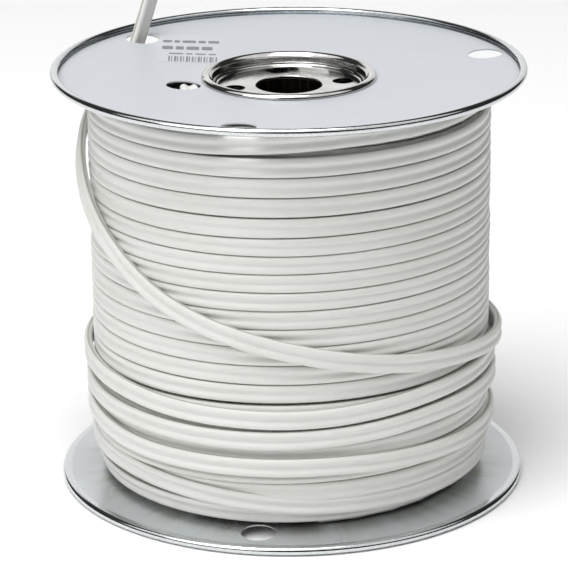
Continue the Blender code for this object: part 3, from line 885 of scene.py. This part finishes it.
def start_end():
    """The cable's inner end, lying flat under the upper flange and showing in the starter hole."""
    height = REEL_HEIGHT - inner_face(BARREL_OUTER) - GAP - CABLE_THICKNESS / 2 - 0.1 * MM
    knots = equal_steps(np.array([polar(r * MM, a, height) for r, a in START_ROUTE]), 60)
    points = np.stack([smoothed(knots[:, k], 6) for k in range(3)], axis=1)
    along = unit(np.gradient(points, axis=0))
    flats = np.broadcast_to(np.array([0.0, 0.0, 1.0]), points.shape)
    outline = cable_section()
    mesh = grid_mesh("start_of_cable", sweep(points, flats, np.cross(along, flats), outline))
    mark_crevices(mesh, outline, len(points))
    sharpen(mesh, 60.0)
    link("start_of_cable", mesh, vinyl, REEL, ("start_end",))


start_end()

# ---------------------------------------------------------------- the reel

FLANGE_SEGMENTS = 256
HUB_SEGMENTS = 192
TUBE_SEGMENTS = 128
CURL_END = -145.0               # degrees round the curl's section; 90 is where it leaves the sheet
DISH_BEND = 2.0 * MM            # half of the width over which the sheet bends into its slope
DISH_RINGS = 8
SLOPE_MARGIN = 8.0 * MM         # from the slope's two ends to the rings between them
BEAD_END = -150.0
NECK_HEIGHT = 3.0 * MM
LEDGE_BEND = 0.5 * MM
THROAT_BEND = 0.4 * MM
FLOOR_BEND = 1.6 * MM
HEM_BEND = 0.5 * MM             # round the arbor hole
OUTER_BEND = 1.2 * MM           # the floor's edge, seen from inside the winding
TUBE_BEVEL = 0.3 * MM


def flipped(profile, upper):
    """Turns (radius, depth from the reel's end) into (radius, height)."""
    return [(r, REEL_HEIGHT - depth if upper else depth) for r, depth in profile]


def flange(name, upper, replaced):
    """A dished sheet whose edge is rolled outward into a hollow curl."""
    edge = 2 * ROLL_RADIUS
    centre = (FLANGE_RADIUS - ROLL_RADIUS, ROLL_RADIUS)
    radii = [FLANGE_BORE, DISH_START - DISH_BEND, DISH_START + DISH_BEND]
    radii += list(np.linspace(DISH_START + SLOPE_MARGIN, DISH_END - SLOPE_MARGIN, DISH_RINGS))
    radii += [DISH_END - DISH_BEND, DISH_END + DISH_BEND]
    face = [(r, inner_face(r)) for r in radii]
    back = [(r, depth - SHEET) for r, depth in reversed(face)]
    outside = arc(centre, ROLL_RADIUS, 90.0, CURL_END, 26)
    inside = arc(centre, ROLL_RADIUS - SHEET, CURL_END, 90.0, 20)
    profile = face + outside + inside + back
    mesh = turned_mesh(name, flipped(profile, upper), FLANGE_SEGMENTS)
    obj = link(name, mesh, steel if upper else pack_reflection_steel, REEL, (replaced,))
    holes = [(polar(r, a), CABLE_HOLE_RADIUS) for r, a in (UPPER_HOLES if upper else LOWER_HOLES)]
    middle = REEL_HEIGHT - edge if upper else edge
    punch(obj, holes, middle - 3 * edge, middle + 3 * edge)


def hub_cup(name, upper, replaced):
    """A pressed cup with a rolled bead, a stepped neck and a rounded floor with five holes."""
    plate = 2 * ROLL_RADIUS + DISH - SHEET - GAP
    neck = CUP_WALL - SHEET
    ledge = plate + NECK_HEIGHT
    floor = CUP_FLOOR_DEPTH
    under = floor + CUP_FLOOR_THICKNESS
    profile = arc((BEAD_CREST, plate), BEAD_RADIUS, 0.0, BEAD_END, 22)
    profile += [(neck + 0.15 * MM, plate - 0.5 * MM), (neck, plate + 0.4 * MM), (neck, ledge - LEDGE_BEND)]
    profile += arc((neck - LEDGE_BEND, ledge - LEDGE_BEND), LEDGE_BEND, 0.0, 90.0, 5)
    profile += arc((CUP_FLOOR_RADIUS + THROAT_BEND, ledge + 0.5 * MM), THROAT_BEND, -90.0, -180.0, 5)
    profile += arc((CUP_FLOOR_RADIUS - FLOOR_BEND, floor - FLOOR_BEND), FLOOR_BEND, 0.0, 90.0, 9)
    profile += [(ARBOR_RADIUS + 3.0 * MM, floor), (ARBOR_RADIUS + 0.6 * MM, floor)]
    profile += arc((ARBOR_RADIUS + HEM_BEND, floor + HEM_BEND), HEM_BEND, -90.0, -180.0, 5)
    profile += [(ARBOR_RADIUS, under), (CUP_WALL - 1.5 * MM, under)]
    profile += arc((CUP_WALL - OUTER_BEND, under - OUTER_BEND), OUTER_BEND, 90.0, 0.0, 6)
    profile += [(CUP_WALL, plate)]
    mesh = turned_mesh(name, flipped(profile, upper), HUB_SEGMENTS)
    obj = link(name, mesh, bright, REEL, (replaced,))
    holes = [(polar(DRIVE_HOLE_CIRCLE, a), DRIVE_HOLE_RADIUS) for a in DRIVE_HOLE_ANGLES]
    middle = REEL_HEIGHT - floor if upper else floor
    punch(obj, holes, middle - 3.0 * MM, middle + 3.0 * MM, 40)


def arbor_tube():
    """The plain inner tube between the two hub cups."""
    end = CUP_FLOOR_DEPTH + CUP_FLOOR_THICKNESS + GAP
    bevel = TUBE_BEVEL
    profile = [(ARBOR_RADIUS, end + bevel), (ARBOR_RADIUS + bevel, end), (ARBOR_TUBE_OUTER - bevel, end),
               (ARBOR_TUBE_OUTER, end + bevel), (ARBOR_TUBE_OUTER, REEL_HEIGHT - end - bevel),
               (ARBOR_TUBE_OUTER - bevel, REEL_HEIGHT - end), (ARBOR_RADIUS + bevel, REEL_HEIGHT - end),
               (ARBOR_RADIUS, REEL_HEIGHT - end - bevel)]
    mesh = turned_mesh("arbor_inner_tube", profile, TUBE_SEGMENTS)
    sharpen(mesh, 30.0)
    link("arbor_inner_tube", mesh, painted_shade_tube, REEL, ("arbor_tube",))


flange("upper_flange_plate", True, "upper_flange")
flange("lower_flange_plate", False, "lower_flange")
hub_cup("upper_hub", True, "upper_hub_cup")
hub_cup("lower_hub", False, "lower_hub_cup")
arbor_tube()
for slot in frame["nodes"]["barrel"].material_slots:
    slot.material = steel

# ---------------------------------------------------------------- the label

LABEL_X = (-71.5 * MM, -36.0 * MM)
LABEL_Y = (29.0 * MM, 81.0 * MM)
LABEL_THICKNESS = 0.08 * MM
LABEL_LIFT = 0.02 * MM
LABEL_CORNER = 2.0 * MM
BAR_CORNER = 0.3 * MM


def on_plate(x, y, lift):
    return (x, y, REEL_HEIGHT - inner_face(math.hypot(x, y)) + SHEET + lift)


def patch(name, x_range, y_range, lift, thickness, material, corner, columns=12, rows=18):
    """A thin rounded rectangle that follows the upper flange."""
    x_low, x_high = x_range
    y_low, y_high = y_range
    xs = np.linspace(x_low, x_high, columns)
    sheets = []
    for layer in (lift, lift + thickness):
        grid = []
        for x in xs:
            near = max(0.0, corner - min(x - x_low, x_high - x))
            inset = corner - math.sqrt(max(corner ** 2 - near ** 2, 0.0))
            grid.append([on_plate(x, y, layer) for y in np.linspace(y_low + inset, y_high - inset, rows)])
        sheets.append(grid)
    bm = bmesh.new()
    low, high = [[[bm.verts.new(p) for p in column] for column in grid] for grid in sheets]
    for i in range(columns - 1):
        for j in range(rows - 1):
            bm.faces.new((low[i][j], low[i][j + 1], low[i + 1][j + 1], low[i + 1][j]))
            bm.faces.new((high[i][j], high[i + 1][j], high[i + 1][j + 1], high[i][j + 1]))
    border = [(i, 0) for i in range(columns - 1)] + [(columns - 1, j) for j in range(rows - 1)]
    border += [(i, rows - 1) for i in range(columns - 1, 0, -1)] + [(0, j) for j in range(rows - 1, 0, -1)]
    for (i, j), (k, m) in zip(border, border[1:] + border[:1]):
        bm.faces.new((low[i][j], low[k][m], high[k][m], high[i][j]))
    bmesh.ops.recalc_face_normals(bm, faces=bm.faces)
    return link(name, taken_mesh(bm, name), material, REEL)


# The sticker's rows of word-like bars: bottom, height, left end and the bars' widths, in millimetres
LABEL_ROWS = [
    (65.8, 4.6, -69.5, (5.0, 3.0, 7.5, 4.0, 6.0)),
    (53.0, 6.2, -69.5, (6.0, 4.5, 7.0, 6.0)),
    (44.2, 2.4, -65.5, (8.0, 3.5, 6.0, 4.0)),
]
WORD_SPACE = 1.4                # millimetres
STRIPES_Y = (30.5 * MM, 40.5 * MM)
STRIPES_LEFT = -65.5 * MM
STRIPE_STEP = 1.6 * MM
STRIPE_WIDTHS = (0.9 * MM, 0.5 * MM, 1.2 * MM, 0.6 * MM)
STRIPE_COUNT = 17
INK_THICKNESS = 0.02 * MM


def label():
    sticker = patch("blank_label", LABEL_X, LABEL_Y, LABEL_LIFT, LABEL_THICKNESS, paper, LABEL_CORNER)
    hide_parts("flange_label")
    lift = LABEL_LIFT + LABEL_THICKNESS + INK_THICKNESS
    count = 0
    for bottom, tall, left, widths in LABEL_ROWS:
        x = left
        for wide in widths:
            count += 1
            patch(f"label_bar_{count:02d}", (x * MM, (x + wide) * MM), (bottom * MM, (bottom + tall) * MM),
                  lift, INK_THICKNESS, ink, BAR_CORNER, 6, 4)
            x += wide + WORD_SPACE
    for k in range(STRIPE_COUNT):
        x = STRIPES_LEFT + k * STRIPE_STEP
        wide = STRIPE_WIDTHS[k % len(STRIPE_WIDTHS)]
        patch(f"label_stripe_{k + 1:02d}", (x, x + wide), STRIPES_Y, lift, INK_THICKNESS, ink, 0.0, 2, 6)


label()

# ---------------------------------------------------------------- studio

FLOOR_SIZE = 6.0
FLOOR_DEPTH = 0.2 * MM          # how far it lies below the reel's lowest edge


def floor():
    bm = bmesh.new()
    bmesh.ops.create_grid(bm, x_segments=8, y_segments=8, size=FLOOR_SIZE)
    obj = add_object("floor", taken_mesh(bm, "floor"))
    obj.location.z = -FLOOR_DEPTH
    n = new_look("floor_paper")
    n.set(Roughness=0.9, Specular_IOR_Level=0.1)
    cloud = n.noise(n.position(), 3.0, 2.0)
    n.feed(Base_Color=n.mix(cloud, grey(0.985), grey(0.99)))
    obj.data.materials.append(n.owner)


def area_light(name, place, target, size, power):
    data = bpy.data.lights.new(name, "AREA")
    data.shape = "RECTANGLE"
    data.size, data.size_y = size
    data.energy = power
    lamp = add_object(name, data)
    lamp.location = place
    lamp.rotation_euler = (Vector(target) - Vector(place)).to_track_quat("-Z", "Y").to_euler()
    lamp.visible_camera = False


# How bright the studio is by the angle over the reel: from the horizon in front (0), through straight up
# (0.5), to the horizon behind (1). Dark in front, a softbox above, a dark ceiling behind it and a white
# backdrop low down.
STUDIO_LEVELS = [(0.0, 0.015), (0.20, 0.015), (0.23, 1.0), (0.56, 1.0), (0.59, 0.04), (0.79, 0.04),
                 (0.84, 0.92), (1.0, 0.92)]
GROUND_LEVEL = 0.75             # how bright it is below the horizon
SIDE_LEVEL = 0.03               # and low down to either side of the backdrop
STUDIO_STRENGTH = 1.14
RIGHT_STRENGTH = 0.72           # share of that on the right
# The parts of a direction over which one level turns into the next
HORIZON = (-0.05, -0.02)        # up
SIDE_START = (0.42, 0.60)       # sideways
SIDE_TOP = (0.40, 0.55)         # up
LEFT_TO_RIGHT = (-0.4, 0.9)     # sideways


def world():
    """A studio for the steel to mirror: STUDIO_LEVELS overhead, dark low down at the sides, dimmer right."""
    n = Nodes(bpy.data.worlds.new("studio"), "Background")
    bpy.context.scene.world = n.owner

    def fade(value, between, start, end):
        return n.span(value, *between, start, end, curve="SMOOTHSTEP")

    sideways, away, up = n.parts(n.add("ShaderNodeTexCoord").outputs["Generated"])
    over = n.math("ARCTAN2", up, n.math("MULTIPLY", away, -1.0))
    bands = n.ramp(n.math("DIVIDE", over, math.pi), [(spot, grey(level)) for spot, level in STUDIO_LEVELS])
    bands = n.mix(fade(up, HORIZON, 1.0, 0.0), bands, grey(GROUND_LEVEL))
    low_aside = n.math("MULTIPLY", fade(n.math("ABSOLUTE", sideways), SIDE_START, 0.0, 1.0),
                       fade(up, SIDE_TOP, 1.0, 0.0))
    above_ground = n.math("MULTIPLY", low_aside, fade(up, HORIZON, 0.0, 1.0))
    n.feed(Color=n.mix(above_ground, bands, grey(SIDE_LEVEL)))
    dimmed = n.math("MULTIPLY", fade(sideways, LEFT_TO_RIGHT, 1.0, RIGHT_STRENGTH), STUDIO_STRENGTH)
    n.feed(Strength=dimmed)
    # the viewer sees plain white behind the reel
    plain = n.add("ShaderNodeBackground")
    plain.inputs["Color"].default_value = (*grey(1.0), 1.0)
    plain.inputs["Strength"].default_value = 1.0
    seen = n.add("ShaderNodeMixShader")
    n.wire(n.add("ShaderNodeLightPath").outputs["Is Camera Ray"], seen.inputs[0])
    n.wire(n.shader.outputs[0], seen.inputs[1])
    n.wire(plain.outputs[0], seen.inputs[2])
    n.wire(seen.outputs[0], n.tree.nodes["World Output"].inputs["Surface"])


floor()
world()
area_light("key", place=(-1.5, -1.7, 2.1), target=(0.0, 0.0, 0.1), size=(2.4, 2.4), power=31.0)
area_light("top", place=(-0.2, -0.4, 2.5), target=(0.0, 0.0, 0.2), size=(1.3, 1.3), power=31.0)
bpy.context.scene.view_settings.view_transform = "Standard"
